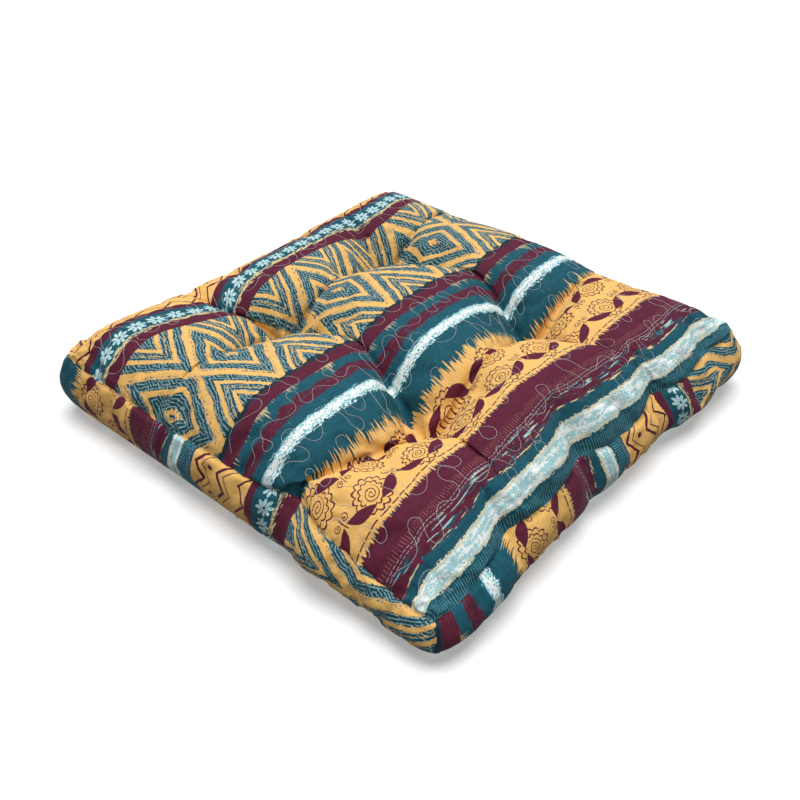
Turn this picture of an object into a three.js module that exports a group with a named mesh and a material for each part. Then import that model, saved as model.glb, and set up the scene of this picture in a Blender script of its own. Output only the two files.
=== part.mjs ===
// Square tufted chair pad: printed cloth sewn as a top panel, a border strip and a bottom panel
// round one soft filling, and pulled down by four ties that part the top into nine pillows.
// Millimetres, +Z up. The origin is on the floor under the middle of the pad.
// X runs across the print's stripes, Y along them.
import * as THREE from "three";

// Seams: the sewn square, and the heights of the two seams that join the border to the panels
const SEAM_WIDTH = 546;
const TOP_SEAM_HEIGHT = 70;
const BOTTOM_SEAM_HEIGHT = 7;
const BOTTOM_SEAM_OUTSET = 1;
const CORNER_SQUARENESS = 30;
const CORNER_REACH = 8;

// Border: how far it swells beyond the seams, and how low its fullest line is
const BORDER_SWELL = 11;
const BORDER_SAG = 1.15;
const BORDER_CORNER_POWER = 19;

// Ties: how far they pull the top down and lift the underside, and how wide their dimples are
const TIE_DEPTH = 14;
const TIE_DIMPLE_RADIUS = 52;
const TIE_LIFT = 12;
const TIE_LIFT_RADIUS = 62;

// Pillows: a higher power is a fuller pillow with steeper creases, a lower fill a rounder shoulder.
// Sharpness makes a shallow crease narrower than a deep one.
const PILLOW_POWER = 2.6;
const CREASE_SHARPNESS = 2;
const PILLOW_FILL = 0.95;

// How fast the seams' unevenness dies away towards the middle of the panel
const SEAM_REACH = 9;
const SWELL_REACH = 4 * SEAM_REACH;
const UNDERSIDE_ROLL = 22;
const UNDERSIDE_GATHER_SHARE = 0.2;

// Steps of the surface: along each of the nine pillows, closer near the creases, and down the border
const STEPS_PER_PILLOW = 14;
const STEP_CROWDING = 0.5;
const BORDER_STEPS = 6;
const CREASE_ROUNDS = 12;

// Creases from the left side to the right side, front one first. A place is a share of the panel's
// width along Y at one station in X; a depth is a share of the pillows' rise. Stations are the sides, the
// ties, the middle between the ties, and a place outside each tie where its pull has died away.
const ROW_STATIONS = [0, 0.13, 0.285, 0.5, 0.715, 0.85, 1];
const ROW_CREASES = [
  {
    place: { left: 0.285, out1: 0.305, tie1: 0.352, mid: 0.362, tie2: 0.305, out2: 0.271, right: 0.235 },
    depth: { left: 0.3, out1: 0.56, tie1: 0.9, mid: 0.36, tie2: 0.9, out2: 0.16, right: 0.05 },
  },
  {
    place: { left: 0.765, out1: 0.726, tie1: 0.695, mid: 0.725, tie2: 0.672, out2: 0.674, right: 0.69 },
    depth: { left: 0.02, out1: 0.04, tie1: 0.9, mid: 0.36, tie2: 0.9, out2: 0.2, right: 0.18 },
  },
];

// Creases from the front side to the back side, left one first, placed along X.
const COLUMN_STATIONS = [0, 0.16, 0.33, 0.5, 0.69, 0.85, 1];
const COLUMN_CREASES = [
  {
    place: { front: 0.33, out1: 0.315, tie1: 0.3, mid: 0.29, tie2: 0.268, out2: 0.266, back: 0.27 },
    depth: { front: 0.1, out1: 0.28, tie1: 0.9, mid: 0.36, tie2: 0.9, out2: 0.2, back: 0.06 },
  },
  {
    place: { front: 0.672, out1: 0.708, tie1: 0.733, mid: 0.72, tie2: 0.697, out2: 0.691, back: 0.69 },
    depth: { front: 0.66, out1: 0.72, tie1: 0.9, mid: 0.34, tie2: 0.9, out2: 0.24, back: 0.1 },
  },
];

// How far each pillow stands above the top seam, front row first.
const PILLOW_RISE = [
  { left: 39, middle: 48, right: 30 },
  { left: 38, middle: 53, right: 47 },
  { left: 41, middle: 47, right: 35 },
];

// Gathers in the top seam: the side, the place along it, the spread (both as shares of the side),
// how far the seam is drawn in, and how far it is lifted.
const GATHERS = [
  { side: "front", at: 0.35, spread: 0.07, drawn: 2, lifted: -6 },
  { side: "front", at: 0.675, spread: 0.045, drawn: 11, lifted: 5 },
  { side: "right", at: 0.21, spread: 0.04, drawn: 8, lifted: 2 },
  { side: "right", at: 0.44, spread: 0.045, drawn: 12, lifted: 4 },
  { side: "right", at: 0.69, spread: 0.04, drawn: 10, lifted: 5 },
  { side: "right", at: 0.62, spread: 0.36, drawn: 0, lifted: -9 },
  { side: "right", at: 0.88, spread: 0.035, drawn: 6, lifted: 4 },
  { side: "back", at: 0.27, spread: 0.05, drawn: 7, lifted: 1 },
  { side: "back", at: 0.69, spread: 0.06, drawn: 8, lifted: -3 },
  { side: "left", at: 0.28, spread: 0.05, drawn: 8, lifted: -3 },
  { side: "left", at: 0.765, spread: 0.05, drawn: 3, lifted: 1 },
];

// Places where the border is fuller or slacker than elsewhere.
const BORDER_SWELLS = [
  { side: "front", at: 0.73, spread: 0.08, fuller: 7 },
  { side: "front", at: 0.2, spread: 0.15, fuller: -3 },
  { side: "right", at: 0.14, spread: 0.12, fuller: 7 },
  { side: "right", at: 0.46, spread: 0.08, fuller: 2 },
  { side: "right", at: 0.84, spread: 0.14, fuller: 9 },
];

// How far the middle of each side is drawn in between its corners.
const SIDE_BOW = { front: 3, right: 5, back: 7, left: 7 };

// Corners: how far each one sinks, or stands up where negative, and how far that reaches.
const CORNERS = [
  { x: 0, y: 0, sunk: -5, reach: 0.1 },
  { x: 1, y: 0, sunk: 25, reach: 0.2 },
  { x: 1, y: 1, sunk: -6, reach: 0.1 },
  { x: 0, y: 1, sunk: 2, reach: 0.12 },
];

const PILLOWS = 3;
const GRID = PILLOWS * STEPS_PER_PILLOW;

// A smooth curve through a table row's values at the given stations. Its slope at an inner station
// is the mean of the two neighbouring chords' slopes, the shorter chord counting for more.
function smoothRow(stations, row) {
  const values = Object.values(row);
  const gap = (i) => stations[i + 1] - stations[i];
  const chord = (i) => (values[i + 1] - values[i]) / gap(i);
  const last = stations.length - 1;
  const slopes = stations.map((_, i) => {
    if (i === 0) return chord(0);
    if (i === last) return chord(last - 1);
    return (gap(i - 1) * chord(i) + gap(i) * chord(i - 1)) / (gap(i - 1) + gap(i));
  });
  return (share) => {
    const next = stations.findIndex((station) => station > share);
    const i = next < 0 ? last - 1 : Math.max(next - 1, 0);
    const t = (share - stations[i]) / gap(i);
    const ends = values[i] * (1 + 2 * t) * (1 - t) ** 2 + values[i + 1] * t ** 2 * (3 - 2 * t);
    return ends + gap(i) * t * (1 - t) * (slopes[i] * (1 - t) - slopes[i + 1] * t);
  };
}

const smoothCrease = (stations) => (crease) => ({
  place: smoothRow(stations, crease.place),
  depth: smoothRow(stations, crease.depth),
});
const rowCreases = ROW_CREASES.map(smoothCrease(ROW_STATIONS));
const columnCreases = COLUMN_CREASES.map(smoothCrease(COLUMN_STATIONS));

// The panel share that lies the given part of the way between two neighbouring creases or sides.
function between(creases, station, pillow, part) {
  const lines = [0, ...creases.map((crease) => crease.place(station)), 1];
  return THREE.MathUtils.lerp(lines[pillow], lines[pillow + 1], part);
}

// Splits a grid step into the pillow it is in and the part of that pillow's width.
function pillowAt(step) {
  const pillow = Math.min(Math.floor(step / STEPS_PER_PILLOW), PILLOWS - 1);
  const even = step / STEPS_PER_PILLOW - pillow;
  const part = even - (STEP_CROWDING * Math.sin(2 * Math.PI * even)) / (2 * Math.PI);
  return { pillow, part };
}

// Panel shares of a grid point. The grid's lines follow the creases, which cross, so the two
// shares are settled in a few rounds.
function panelShares(column, row) {
  const across = pillowAt(column);
  const along = pillowAt(row);
  let x = column / GRID;
  let y = row / GRID;
  for (let round = 0; round < CREASE_ROUNDS; round += 1) {
    x = between(columnCreases, y, across.pillow, across.part);
    y = between(rowCreases, x, along.pillow, along.part);
  }
  return { x, y, across, along };
}

// A bell that is 1 at the middle and dies away over the spread.
const bell = (distance, spread) => Math.exp(-((distance / spread) ** 2));

// A bell that reaches exactly zero at its radius, with a level rim.
const cup = (distance, radius) => Math.max(0, 1 - (distance / radius) ** 2) ** 2;

// Sum of one column of a table's bells along a side.
function alongSide(table, side, place, column) {
  return table
    .filter((row) => row.side === side)
    .reduce((sum, row) => sum + row[column] * bell(place - row.at, row.spread), 0);
}

// Each side's nearest place to a point of the panel, and its nearness: 1 on the side's seam.
function nearSides({ x, y }) {
  return [
    { side: "front", place: x, near: 1 - y },
    { side: "right", place: y, near: x },
    { side: "back", place: x, near: y },
    { side: "left", place: y, near: 1 - x },
  ];
}

// Plan position of a point of a panel whose seams lie `outset` beyond the top panel's.
// The square's corners are rounded, its sides bow in, and its seams are drawn in by the gathers.
function planPoint(shares, outset, gatherShare) {
  const across = 2 * shares.x - 1;
  const along = 2 * shares.y - 1;
  const ring = Math.max(Math.abs(across), Math.abs(along));
  const powers = Math.abs(across) ** CORNER_SQUARENESS + Math.abs(along) ** CORNER_SQUARENESS;
  const round = ring > 0 ? ring / powers ** (1 / CORNER_SQUARENESS) : 1;
  const half = (SEAM_WIDTH / 2 + outset) * (1 - (1 - round) * ring ** CORNER_REACH);
  const [front, right, back, left] = nearSides(shares).map(({ side, place, near }) => {
    const bow = SIDE_BOW[side] * (1 - (2 * place - 1) ** 2);
    return near ** SEAM_REACH * (bow + gatherShare * alongSide(GATHERS, side, place, "drawn"));
  });
  return new THREE.Vector2(half * across + left - right, half * along + front - back);
}

// The four ties stand where the creases cross.
const ties = [1, 2].flatMap((row) =>
  [1, 2].map((column) => planPoint(panelShares(column * STEPS_PER_PILLOW, row * STEPS_PER_PILLOW), 0, 1)),
);

// Level of the top seam carried across the panel, with its gathers, corners and tie dimples.
function seamLevel(shares, plan) {
  const lifted = nearSides(shares).reduce((sum, { side, place, near }) => {
    return sum + near ** SEAM_REACH * alongSide(GATHERS, side, place, "lifted");
  }, 0);
  const sunk = CORNERS.reduce((sum, corner) => {
    const distance = Math.hypot(shares.x - corner.x, shares.y - corner.y);
    return sum + corner.sunk * bell(distance, corner.reach);
  }, 0);
  const tied = ties.reduce((sum, tie) => sum + TIE_DEPTH * cup(plan.distanceTo(tie), TIE_DIMPLE_RADIUS), 0);
  return TOP_SEAM_HEIGHT + lifted - sunk - tied;
}

// Blends a pillow's value into the next pillow's, from one pillow's middle to the other's.
function blendPillows(values, { pillow, part }) {
  const middles = THREE.MathUtils.clamp(pillow + part - 0.5, 0, PILLOWS - 1);
  const first = Math.min(Math.floor(middles), PILLOWS - 2);
  const share = THREE.MathUtils.smoothstep(middles - first, 0, 1);
  return THREE.MathUtils.lerp(values[first], values[first + 1], share);
}

// How slack the cloth is at a part of a pillow: nothing at its middle, endless at a seam, and at a
// crease as much as the crease's depth asks for.
function slackness({ pillow, part }, creases, station) {
  const depths = [1, ...creases.map((crease) => crease.depth(station)), 1];
  const depth = part < 0.5 ? depths[pillow] : depths[pillow + 1];
  const power = PILLOW_POWER + CREASE_SHARPNESS * (1 - depth);
  const lowered = depth * Math.abs(2 * part - 1) ** power;
  return lowered / Math.max(1 - lowered, 1e-6);
}

// A point of the top panel.
function topPoint(column, row) {
  const shares = panelShares(column, row);
  const { across, along } = shares;
  const plan = planPoint(shares, 0, 1);
  const rises = PILLOW_RISE.map((pillows) => blendPillows(Object.values(pillows), across));
  const slack = Math.hypot(
    slackness(across, columnCreases, shares.y),
    slackness(along, rowCreases, shares.x),
  );
  const rise = blendPillows(rises, along) * (1 / (1 + slack)) ** PILLOW_FILL;
  return new THREE.Vector3(plan.x, plan.y, seamLevel(shares, plan) + rise);
}

// A point of the bottom panel: flat on the floor, rolling up to its seam and lifted at the ties.
function bottomPoint(column, row) {
  const shares = panelShares(column, row);
  const plan = planPoint(shares, BOTTOM_SEAM_OUTSET, UNDERSIDE_GATHER_SHARE);
  const toSeam = Math.min(shares.x, 1 - shares.x, shares.y, 1 - shares.y) * SEAM_WIDTH;
  const rolled = BOTTOM_SEAM_HEIGHT * Math.max(0, 1 - toSeam / UNDERSIDE_ROLL) ** 2;
  const tied = ties.reduce((sum, tie) => sum + TIE_LIFT * cup(plan.distanceTo(tie), TIE_LIFT_RADIUS), 0);
  return new THREE.Vector3(plan.x, plan.y, Math.max(rolled, tied));
}

// Grid points of a panel's rim, once round from the front left corner, anticlockwise from above.
function rimSteps() {
  const side = Array.from({ length: GRID }, (_, i) => i);
  return [
    ...side.map((i) => ({ column: i, row: 0 })),
    ...side.map((i) => ({ column: GRID, row: i })),
    ...side.map((i) => ({ column: GRID - i, row: GRID })),
    ...side.map((i) => ({ column: 0, row: GRID - i })),
  ];
}

// A point of the border strip between the two seams. Its cloth swells out, round the corners too.
function borderPoint({ column, row }, step) {
  const down = step / BORDER_STEPS;
  const shares = panelShares(column, row);
  const point = topPoint(column, row).lerp(bottomPoint(column, row), down);
  const outward = new THREE.Vector2(
    (2 * shares.x - 1) ** BORDER_CORNER_POWER,
    (2 * shares.y - 1) ** BORDER_CORNER_POWER,
  ).normalize();
  const fuller = nearSides(shares).reduce((sum, { side, place, near }) => {
    return sum + near ** SWELL_REACH * alongSide(BORDER_SWELLS, side, place, "fuller");
  }, BORDER_SWELL);
  const swell = fuller * Math.sin(Math.PI * down ** BORDER_SAG);
  point.x += outward.x * swell;
  point.y += outward.y * swell;
  return point;
}

// The pad's closed skin: the two panels' grids, joined at their rims by the rings of the border.
function padGeometry() {
  const positions = [];
  const triangles = [];
  const addPoint = (point) => positions.push(point.x, point.y, point.z) / 3 - 1;
  const addQuad = (a, b, c, d) => triangles.push(a, b, c, a, c, d);

  const panelIds = (panelPoint) =>
    Array.from({ length: GRID + 1 }, (_, row) =>
      Array.from({ length: GRID + 1 }, (__, column) => addPoint(panelPoint(column, row))),
    );
  const top = panelIds(topPoint);
  const bottom = panelIds(bottomPoint);
  for (let row = 0; row < GRID; row += 1) {
    for (let column = 0; column < GRID; column += 1) {
      addQuad(top[row][column], top[row][column + 1], top[row + 1][column + 1], top[row + 1][column]);
      const [near, far] = [bottom[row], bottom[row + 1]];
      addQuad(near[column], far[column], far[column + 1], near[column + 1]);
    }
  }

  const rim = rimSteps();
  const rings = [rim.map(({ column, row }) => top[row][column])];
  for (let step = 1; step < BORDER_STEPS; step += 1) {
    rings.push(rim.map((place) => addPoint(borderPoint(place, step))));
  }
  rings.push(rim.map(({ column, row }) => bottom[row][column]));
  for (let step = 0; step < BORDER_STEPS; step += 1) {
    for (let i = 0; i < rim.length; i += 1) {
      const next = (i + 1) % rim.length;
      addQuad(rings[step + 1][i], rings[step + 1][next], rings[step][next], rings[step][i]);
    }
  }

  const geometry = new THREE.BufferGeometry();
  geometry.setAttribute("position", new THREE.Float32BufferAttribute(positions, 3));
  geometry.setIndex(triangles);
  geometry.computeBoundingBox();
  const middle = geometry.boundingBox.getCenter(new THREE.Vector3());
  geometry.translate(-middle.x, -middle.y, 0);
  geometry.computeVertexNormals();
  return geometry;
}

const printedCloth = new THREE.MeshStandardMaterial({ color: 0x14525c, roughness: 0.85, metalness: 0 });

const cushion = new THREE.Mesh(padGeometry(), printedCloth);
cushion.name = "cushion";

const pad = new THREE.Group();
pad.add(cushion);

export default pad;
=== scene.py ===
# %% [markdown]
# # A tufted chair pad
# A square boxed pad: a printed top panel, a border strip and a bottom panel are sewn round a soft
# filling, four ties pull the top into nine pillows, and a pale thread quilts the top.
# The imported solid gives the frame. Everything here is in metres in that same frame: X across the
# print's stripes, Y along them, Z up, the origin on the floor under the middle of the pad.

# %% Load the frame
import math
import bpy
import numpy as np
from mathutils import Matrix, Vector


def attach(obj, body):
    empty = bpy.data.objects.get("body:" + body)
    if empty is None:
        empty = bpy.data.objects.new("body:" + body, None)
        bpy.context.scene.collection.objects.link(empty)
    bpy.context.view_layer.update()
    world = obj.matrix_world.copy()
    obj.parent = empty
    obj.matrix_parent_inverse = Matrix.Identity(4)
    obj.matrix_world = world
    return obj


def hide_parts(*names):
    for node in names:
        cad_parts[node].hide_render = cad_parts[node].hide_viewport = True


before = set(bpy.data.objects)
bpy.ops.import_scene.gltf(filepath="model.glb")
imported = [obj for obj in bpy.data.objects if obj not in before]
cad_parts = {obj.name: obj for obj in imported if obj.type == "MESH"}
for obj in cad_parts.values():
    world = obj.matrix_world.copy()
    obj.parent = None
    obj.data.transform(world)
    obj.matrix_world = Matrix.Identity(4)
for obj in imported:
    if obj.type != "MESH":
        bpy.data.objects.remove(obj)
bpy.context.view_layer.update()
MM = 0.001
scene = bpy.context.scene

# %% [markdown]
# ## The pad's shape in tables
# The pad is uneven, as hand-filled pads are. One way to model it is to sculpt; here every fold has
# a row in a short table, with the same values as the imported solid, so that the cloth and the solid
# agree and each fold can be changed by one number. Places are shares of the sewn square's width.

# %% Sizes and folds, in millimetres and shares
WIDTH = 546
TOP_SEAM_HEIGHT, BOTTOM_SEAM_HEIGHT, BOTTOM_SEAM_OUTSET = 70, 7, 1
CORNER_SQUARENESS, CORNER_REACH = 30, 8
BORDER_SWELL, BORDER_SAG, BORDER_CORNER_POWER = 11, 1.15, 19
TIE_DEPTH, TIE_DIMPLE_RADIUS, TIE_LIFT, TIE_LIFT_RADIUS = 14, 52, 12, 62
PILLOW_POWER, PILLOW_FILL, CREASE_SHARPNESS = 2.6, 0.95, 2
SEAM_REACH, UNDERSIDE_ROLL, UNDERSIDE_GATHER_SHARE = 9, 22, 0.2
STEP_CROWDING = 0.5

ROW_STATIONS = np.array([0, 0.13, 0.285, 0.5, 0.715, 0.85, 1])  # sides, ties, and places between
ROW_CREASES = [  # from the left side to the right side, front crease first
    dict(place=[0.285, 0.305, 0.352, 0.362, 0.305, 0.271, 0.235],
         depth=[0.3, 0.56, 0.9, 0.36, 0.9, 0.16, 0.05]),
    dict(place=[0.765, 0.726, 0.695, 0.725, 0.672, 0.674, 0.69],
         depth=[0.02, 0.04, 0.9, 0.36, 0.9, 0.2, 0.18]),
]
COLUMN_STATIONS = np.array([0, 0.16, 0.33, 0.5, 0.69, 0.85, 1])
COLUMN_CREASES = [  # from the front side to the back side, left crease first
    dict(place=[0.33, 0.315, 0.3, 0.29, 0.268, 0.266, 0.27],
         depth=[0.1, 0.28, 0.9, 0.36, 0.9, 0.2, 0.06]),
    dict(place=[0.672, 0.708, 0.733, 0.72, 0.697, 0.691, 0.69],
         depth=[0.66, 0.72, 0.9, 0.34, 0.9, 0.24, 0.1]),
]
ROWS, COLUMNS = (ROW_CREASES, ROW_STATIONS), (COLUMN_CREASES, COLUMN_STATIONS)
PILLOW_RISE = np.array([[39.0, 48, 30], [38, 53, 47], [41, 47, 35]])  # front row first
GATHERS = [  # side, place, spread, drawn in, lifted
    ("front", 0.35, 0.07, 2, -6), ("front", 0.675, 0.045, 11, 5),
    ("right", 0.21, 0.04, 8, 2), ("right", 0.44, 0.045, 12, 4),
    ("right", 0.62, 0.36, 0, -9), ("right", 0.69, 0.04, 10, 5), ("right", 0.88, 0.035, 6, 4),
    ("back", 0.27, 0.05, 7, 1), ("back", 0.69, 0.06, 8, -3),
    ("left", 0.28, 0.05, 8, -3), ("left", 0.765, 0.05, 3, 1),
]
BORDER_SWELLS = [  # side, place, spread, fuller
    ("front", 0.73, 0.08, 7), ("front", 0.2, 0.15, -3),
    ("right", 0.14, 0.12, 7), ("right", 0.46, 0.08, 2), ("right", 0.84, 0.14, 9),
]
SIDE_BOW = dict(front=3, right=5, back=7, left=7)
CORNERS = [(0, 0, -5, 0.1), (1, 0, 25, 0.2), (1, 1, -6, 0.1), (0, 1, 2, 0.12)]  # x, y, sunk, reach

# %% [markdown]
# ## Curves, bells and creases
# A crease is a smooth curve through seven table values. The surface's grid follows the creases, so
# that a fold lies on a grid line and stays sharp, where a plain square grid would blunt it.

# %% Curves and bells
def smooth_row(stations, values, share):
    """Cubic curve through the values: each piece blends its two ends and the slopes there, and an
    inner slope is the mean of the neighbouring chords, the shorter one counting for more."""
    values = np.asarray(values, float)
    slopes = np.gradient(values, stations)
    i = np.clip(np.searchsorted(stations, share, side="right") - 1, 0, len(stations) - 2)
    gap = stations[i + 1] - stations[i]
    t = (share - stations[i]) / gap
    ends = values[i] * (1 + 2 * t) * (1 - t) ** 2 + values[i + 1] * t**2 * (3 - 2 * t)
    return ends + gap * t * (1 - t) * (slopes[i] * (1 - t) - slopes[i + 1] * t)


def bell(distance, spread):
    """1 in the middle, dying away as e to the minus square of distance over spread."""
    return np.exp(-((distance / spread) ** 2))


def cup(distance, radius):
    """1 in the middle and exactly 0 from the radius on: one minus the square of the ratio, squared."""
    return np.maximum(0, 1 - (distance / radius) ** 2) ** 2


def crease_lines(creases, stations, at, column):
    """The two creases' values at a station, between a line for each side of the panel."""
    ends = dict(place=(0.0, 1.0), depth=(1.0, 1.0))[column]
    inner = [smooth_row(stations, crease[column], at) for crease in creases]
    return np.stack([np.full_like(at, ends[0]), *inner, np.full_like(at, ends[1])])


def each_crease(x, y):
    """Each crease's depth beside a point, and its distance from there as a share of the width."""
    for creases, stations, at, other in ((*COLUMNS, y, x), (*ROWS, x, y)):
        for crease in creases:
            away = np.abs(other - smooth_row(stations, crease["place"], at))
            yield smooth_row(stations, crease["depth"], at), away


def pick(lines, pillow):
    """For each point, the line numbered `pillow`."""
    return np.take_along_axis(lines, pillow[None], 0)[0]


# %% Grid steps to panel shares and back
EVEN = np.linspace(0, 1, 513)
CROWDED = EVEN - STEP_CROWDING * np.sin(2 * np.pi * EVEN) / (2 * np.pi)


def pillow_part(pillows):
    """Splits a place counted in pillows, from 0 to 3, into the pillow and the part of its width."""
    pillow = np.minimum(np.floor(pillows), 2).astype(int)
    return pillow, np.interp(pillows - pillow, EVEN, CROWDED)


def panel_shares(across, along):
    """Shares of the panel at grid places counted in pillows. Row and column creases cross, so the
    two shares are settled by turns."""
    i, p = pillow_part(across)
    j, q = pillow_part(along)
    x, y = across / 3, along / 3
    for _ in range(12):
        lines = crease_lines(*COLUMNS, y, "place")
        x = pick(lines, i) * (1 - p) + pick(lines, i + 1) * p
        lines = crease_lines(*ROWS, x, "place")
        y = pick(lines, j) * (1 - q) + pick(lines, j + 1) * q
    return x, y


def grid_places(x, y):
    """The other way: the grid place, counted in pillows, of a share of the panel."""
    def one(lines, share):
        pillow = (share >= lines[1]).astype(int) + (share >= lines[2]).astype(int)
        low, high = pick(lines, pillow), pick(lines, pillow + 1)
        return pillow + np.interp((share - low) / (high - low), CROWDED, EVEN)
    return one(crease_lines(*COLUMNS, y, "place"), x), one(crease_lines(*ROWS, x, "place"), y)


# %% [markdown]
# ## Three surfaces
# The top is a sum: the level of the seam, minus the tie dimples, plus pillows that rise between the
# creases. The bottom lies on the floor. The border is drawn from one seam to the other and swells.
# A subdivided box could be sculpted to this, but the sum keeps every fold where the table says.

# %% Plan and height of the panels
def near_sides(x, y):
    """Each side's nearest place along it, and nearness: 1 on its seam, 0 on the opposite one."""
    return dict(front=(x, 1 - y), right=(y, x), back=(x, y), left=(y, 1 - x))


def gathered(side, place, column):
    """Sum of a gather column's bells along one side."""
    return sum(row[column] * bell(place - row[1], row[2]) for row in GATHERS if row[0] == side)


def plan(x, y, outset, gather_share):
    """Plan position: a square whose corners are rounded by a power mean of the two coordinates,
    whose sides bow in, and whose seams are drawn in at the gathers."""
    a, b = 2 * x - 1, 2 * y - 1
    ring = np.maximum(np.abs(a), np.abs(b))
    mean = (np.abs(a) ** CORNER_SQUARENESS + np.abs(b) ** CORNER_SQUARENESS) ** (1 / CORNER_SQUARENESS)
    half = (WIDTH / 2 + outset) * (1 - (1 - ring / np.maximum(mean, 1e-9)) * ring**CORNER_REACH)
    pull = {
        side: near**SEAM_REACH * (SIDE_BOW[side] * (1 - (2 * place - 1) ** 2)
                                  + gather_share * gathered(side, place, 3))
        for side, (place, near) in near_sides(x, y).items()
    }
    return half * a + pull["left"] - pull["right"], half * b + pull["front"] - pull["back"]


TIE_X, TIE_Y = plan(*panel_shares(np.array([1.0, 2, 1, 2]), np.array([1.0, 1, 2, 2])), 0, 1)


def tie_cups(px, py, radius):
    """Sum of the four ties' cups round a plan position."""
    return sum(cup(np.hypot(px - tx, py - ty), radius) for tx, ty in zip(TIE_X, TIE_Y))


def slackness(place, creases, stations, at):
    """How far the cloth is let down across a pillow: none at its middle, endless at a seam."""
    pillow, part = pillow_part(place)
    depths = crease_lines(creases, stations, at, "depth")
    depth = np.where(part < 0.5, pick(depths, pillow), pick(depths, pillow + 1))
    lowered = depth * np.abs(2 * part - 1) ** (PILLOW_POWER + CREASE_SHARPNESS * (1 - depth))
    return lowered / np.maximum(1 - lowered, 1e-6)


def blended_rise(across, along):
    """The pillows' rise, blended from one pillow's middle to the next by a smooth step."""
    def shares(place):
        pillow, part = pillow_part(place)
        middle = np.clip(pillow + part - 0.5, 0, 2)
        first = np.minimum(np.floor(middle), 1).astype(int)
        t = middle - first
        return first, t * t * (3 - 2 * t)
    i, f = shares(across)
    j, g = shares(along)
    low = PILLOW_RISE[j, i] * (1 - f) + PILLOW_RISE[j, i + 1] * f
    high = PILLOW_RISE[j + 1, i] * (1 - f) + PILLOW_RISE[j + 1, i + 1] * f
    return low * (1 - g) + high * g


def top_panel(across, along):
    """Top panel: seam level with its gathers, sunk corners and tie dimples, plus the pillows, whose
    share of rise is one over one plus the combined slackness."""
    x, y = panel_shares(across, along)
    px, py = plan(x, y, 0, 1)
    level = TOP_SEAM_HEIGHT + sum(
        near**SEAM_REACH * gathered(side, place, 4) for side, (place, near) in near_sides(x, y).items())
    level = level - sum(sunk * bell(np.hypot(x - cx, y - cy), reach) for cx, cy, sunk, reach in CORNERS)
    level = level - TIE_DEPTH * tie_cups(px, py, TIE_DIMPLE_RADIUS)
    slack = np.hypot(slackness(across, *COLUMNS, y), slackness(along, *ROWS, x))
    return np.stack([px, py, level + blended_rise(across, along) * (1 + slack) ** -PILLOW_FILL], -1)


def bottom_panel(across, along):
    """Bottom panel: flat, rolling up to its seam as a square law and lifted by the ties."""
    x, y = panel_shares(across, along)
    px, py = plan(x, y, BOTTOM_SEAM_OUTSET, UNDERSIDE_GATHER_SHARE)
    to_seam = np.minimum(np.minimum(x, 1 - x), np.minimum(y, 1 - y)) * WIDTH
    rolled = BOTTOM_SEAM_HEIGHT * np.maximum(0, 1 - to_seam / UNDERSIDE_ROLL) ** 2
    return np.stack([px, py, np.maximum(rolled, TIE_LIFT * tie_cups(px, py, TIE_LIFT_RADIUS))], -1)


def border_strip(across, along, down):
    """Border: straight from the top seam to the bottom one, swollen outwards by half a sine wave
    that is fuller low down. The outward direction turns smoothly round the corners."""
    x, y = panel_shares(across, along)
    out = np.stack([(2 * x - 1) ** BORDER_CORNER_POWER, (2 * y - 1) ** BORDER_CORNER_POWER], -1)
    out /= np.linalg.norm(out, axis=-1, keepdims=True)
    fuller = BORDER_SWELL + sum(
        row[3] * near ** (4 * SEAM_REACH) * bell(place - row[1], row[2])
        for side, (place, near) in near_sides(x, y).items() for row in BORDER_SWELLS if row[0] == side)
    points = top_panel(across, along) * (1 - down)[..., None] + bottom_panel(across, along) * down[..., None]
    points[..., :2] += out * (fuller * np.sin(np.pi * down**BORDER_SAG))[..., None]
    return points


# %% [markdown]
# ## One closed skin
# The three surfaces share their rims, so they are numbered as one mesh: the top's grid, the rings
# of the border, the bottom's grid. Each keeps its own cloth coordinates in a UV map, in shares of
# the width, because the print follows the cloth and not the room.

# %% Grids of the skin
def rim_places(steps):
    """Grid places once round the panel from the front left corner, the first one again at the end."""
    side = np.arange(3 * steps) / steps
    full, none = np.full_like(side, 3.0), np.zeros_like(side)
    across = np.concatenate([side, full, 3 - side, none, [0.0]])
    along = np.concatenate([none, side, full, 3 - side, [0.0]])
    return across, along


def pad_skin(steps, rings):
    """Points of the top, the border and the bottom, in millimetres, centred as the solid is."""
    places = np.arange(3 * steps + 1) / steps
    across, along = np.meshgrid(places, places)
    rim = rim_places(steps)
    down = np.linspace(0, 1, rings + 1)
    top, bottom = top_panel(across, along), bottom_panel(across, along)
    border = border_strip(*(np.broadcast_to(r, (rings + 1, r.size)) for r in rim),
                          np.broadcast_to(down[:, None], (rings + 1, rim[0].size)))
    flat = np.concatenate([part.reshape(-1, 3) for part in (top, border, bottom)])
    middle = (flat.min(0) + flat.max(0)) / 2 * [1, 1, 0]
    return top - middle, border - middle, bottom - middle


def skin_ids(steps, rings):
    """Vertex numbers of the three grids; the border's first and last rings are the panels' rims."""
    size = 3 * steps + 1
    top = np.arange(size * size).reshape(size, size)
    bottom = top + size * size
    rim_row, rim_column = (np.rint(r * steps).astype(int) for r in rim_places(steps)[::-1])
    ring = 2 * size * size + np.arange((rings - 1) * (4 * size - 4)).reshape(rings - 1, -1)
    ring = np.concatenate([ring, ring[:, :1]], 1)
    border = np.concatenate([top[rim_row, rim_column][None], ring, bottom[rim_row, rim_column][None]])
    return top, border, bottom


def quads(grid, flip=False):
    """Four corners of every cell of a grid of numbers or of coordinates."""
    corners = [grid[:-1, :-1], grid[:-1, 1:], grid[1:, 1:], grid[1:, :-1]]
    stacked = np.stack(corners[::-1] if flip else corners, 2)
    return stacked.reshape(-1, *stacked.shape[2:])


def skin_quads(top, border, bottom):
    """The cells of the three grids, all turned outwards."""
    return np.concatenate([quads(top), quads(border, flip=True), quads(bottom, flip=True)])


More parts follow.
